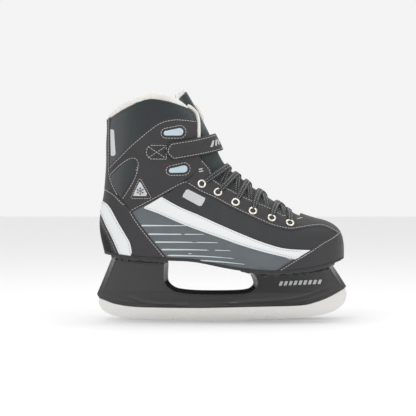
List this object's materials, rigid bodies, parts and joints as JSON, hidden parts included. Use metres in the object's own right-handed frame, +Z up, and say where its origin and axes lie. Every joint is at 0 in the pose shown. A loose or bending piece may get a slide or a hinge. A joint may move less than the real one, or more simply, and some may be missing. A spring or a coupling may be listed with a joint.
{
  "type": "ice skate",
  "caption": "Soft recreational ice skate with fleece lining, laced front, ankle strap, plastic blade holder and steel blade.",
  "frame": {"origin": "on the ice under the middle of the skate", "axes": "+X to the toe, +Z up, +Y to the medial side of this right skate"},
  "size_m": [0.2894, 0.104, 0.2703],
  "materials": {
    "steel": "satin ground steel",
    "plain_steel": "plain",
    "nickel": "pale nickel plate",
    "holder_plastic": "glossy moulding",
    "sole_rubber": "matt",
    "board": "fibre board",
    "fleece": "brushed pile",
    "grey_textile": "fine weave",
    "dark_textile": "woven",
    "black_leather": "grained synthetic",
    "white_leather": "smooth synthetic",
    "reflector": "reflective film"
  },
  "bodies": {
    "boot": {"ankle_inset_lateral": "dark_textile", "ankle_inset_medial": "dark_textile", "ankle_panel_lateral": "black_leather", "ankle_panel_medial": "black_leather", "backstay": "black_leather", "badge": "black_leather", "blade": "steel", "collar_textile_lateral": "dark_textile", "collar_textile_medial": "dark_textile", "collar_trim": "fleece", "eyelets": "nickel", "eyestay_lateral": "black_leather", "eyestay_medial": "black_leather", "footbed": "fleece", "front_rivets": "plain_steel", "heel_band": "white_leather", "heel_counter": "board", "heel_panel_lateral": "black_leather", "heel_panel_medial": "black_leather", "heel_patch": "black_leather", "holder": "holder_plastic", "lace": "dark_textile", "lasting_board": "board", "lining": "fleece", "loop_patch": "dark_textile", "outsole": "sole_rubber", "quarter_lateral": "grey_textile", "quarter_medial": "grey_textile", "rear_rivets": "plain_steel", "reflectors_lateral": "reflector", "reflectors_medial": "reflector", "shank": "plain_steel", "side_stripe_lateral": "white_leather", "side_stripe_medial": "white_leather", "side_tag": "dark_textile", "strap_anchor": "black_leather", "toe_cap": "black_leather", "toe_puff": "board", "tongue": "dark_textile", "tongue_fleece": "fleece", "vamp": "black_leather"},
    "strap": {"strap": "black_leather", "hook_patch": "dark_textile"},
    "tongue_top": {"tongue_top": "dark_textile", "tongue_fleece_top": "fleece"}
  },
  "joints": [
    {"name": "ankle_strap", "type": "hinge", "parent": "boot", "child": "strap", "pos_m": [-0.03, 0.03628, 0.2005], "axis": [-0.1736, 0, 0.9848], "range_deg": [0, 110]},
    {"name": "tongue_fold", "type": "hinge", "parent": "boot", "child": "tongue_top", "pos_m": [-0.019, 0, 0.221], "axis": [0, 1, 0], "range_deg": [0, 30]}
  ]
}
